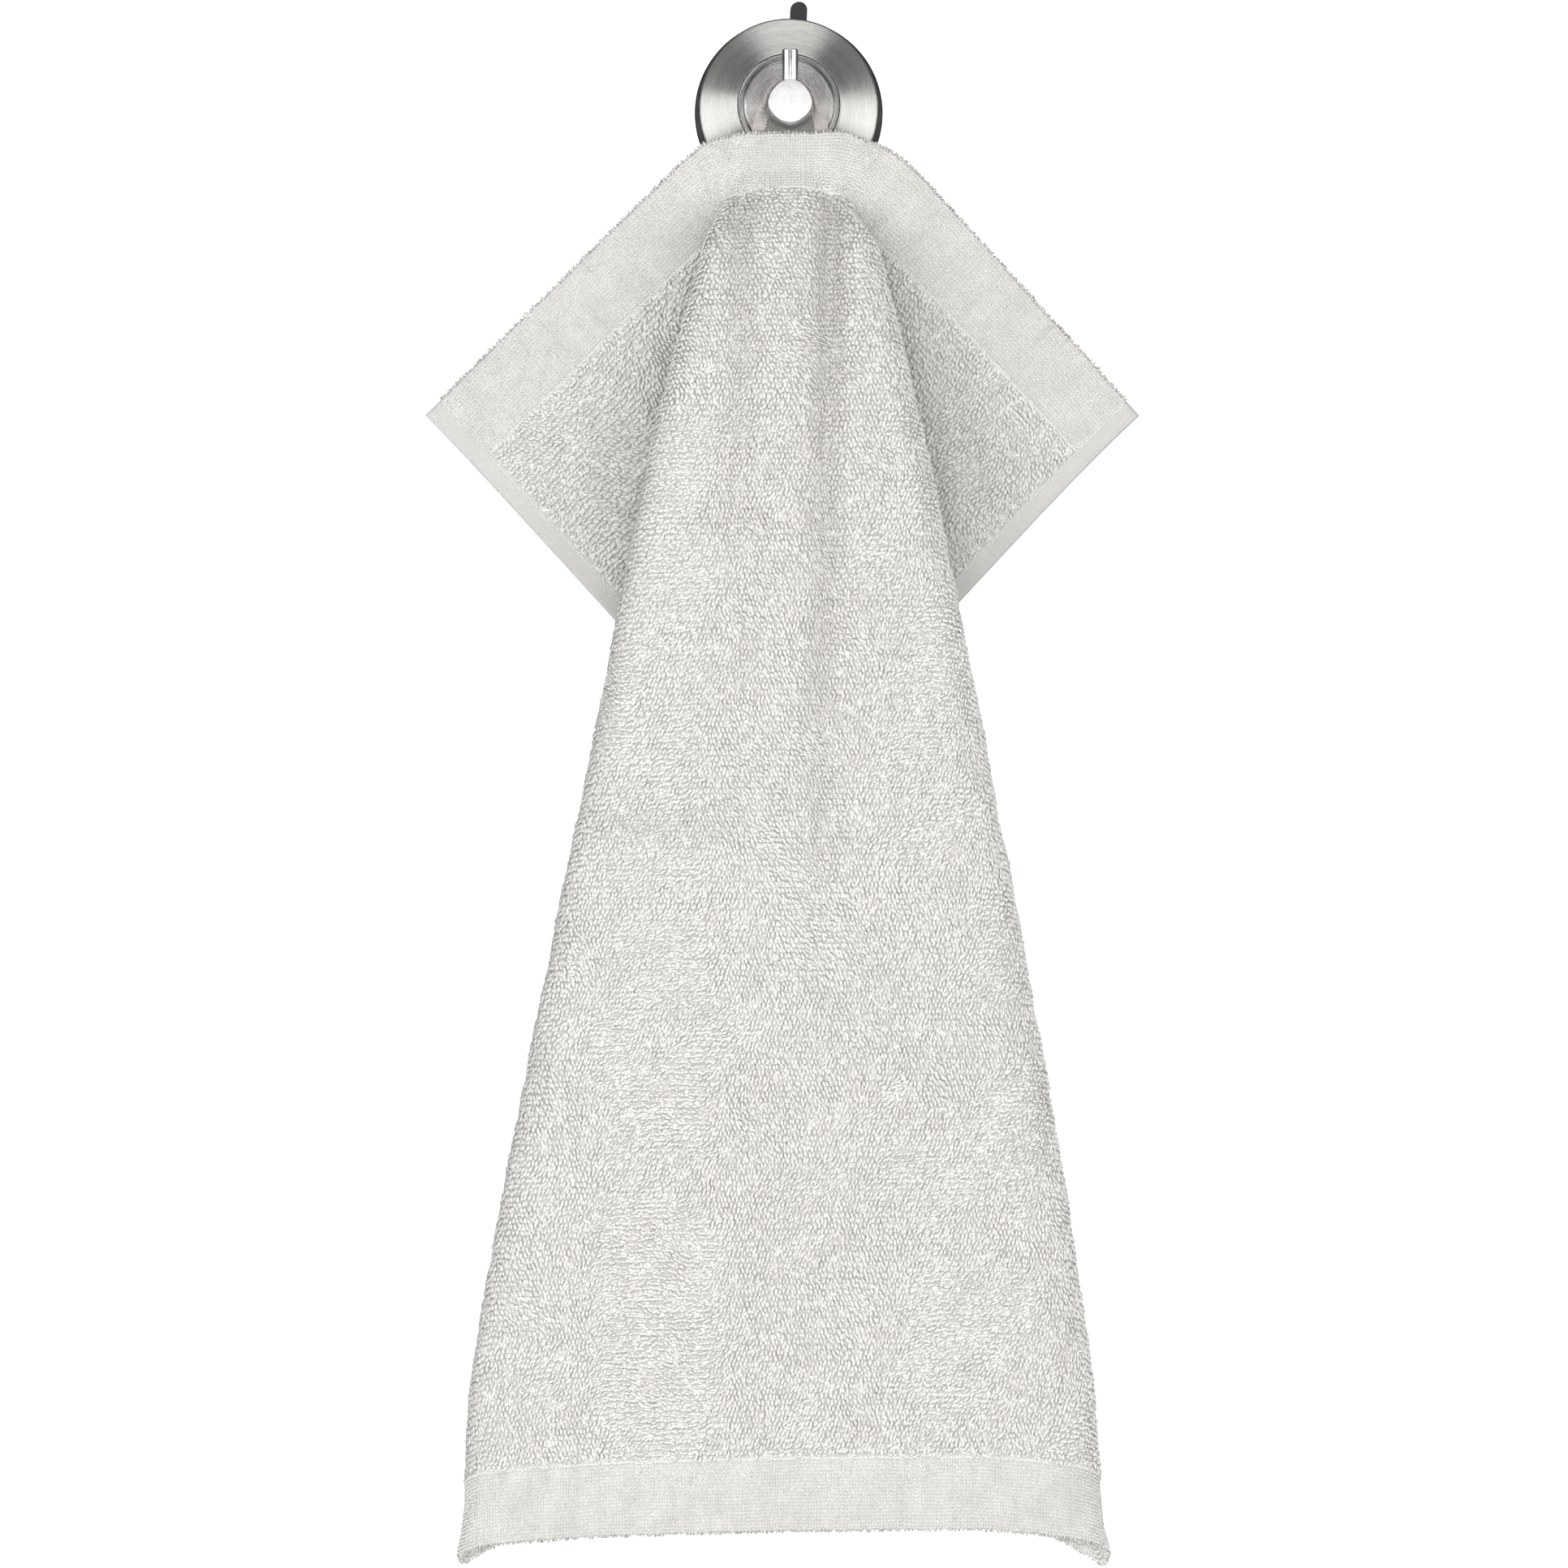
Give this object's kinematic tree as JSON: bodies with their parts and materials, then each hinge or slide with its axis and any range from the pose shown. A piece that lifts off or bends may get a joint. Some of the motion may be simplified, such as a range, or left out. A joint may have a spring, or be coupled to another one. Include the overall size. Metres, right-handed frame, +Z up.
{
  "type": "guest towel on a wall hook",
  "caption": "Pale terry guest towel hanging by its tape loop from a round brushed steel suction hook, its sides tucked in behind the front.",
  "frame": {"origin": "middle of the hook's flat back on the wall, on the axis of its peg", "axes": "+X to the right of a viewer facing the towel, +Y into the wall, +Z up"},
  "size_m": [0.2559, 0.0691, 0.5556],
  "materials": {
    "hook_rubber": "matt black moulded rubber",
    "hook_steel": "brushed in circles round the peg",
    "towel_terry": "looped cotton terry with plain woven bands at both ends and turned side hems",
    "loop_tape": "woven cotton tape"
  },
  "bodies": {
    "root": {"hook_suction_pad": "hook_rubber", "hook_cover": "hook_steel", "hook_peg": "hook_steel", "hook_stop_pin": "hook_steel", "towel_cloth": "towel_terry", "hanging_loop": "loop_tape"}
  },
  "joints": []
}
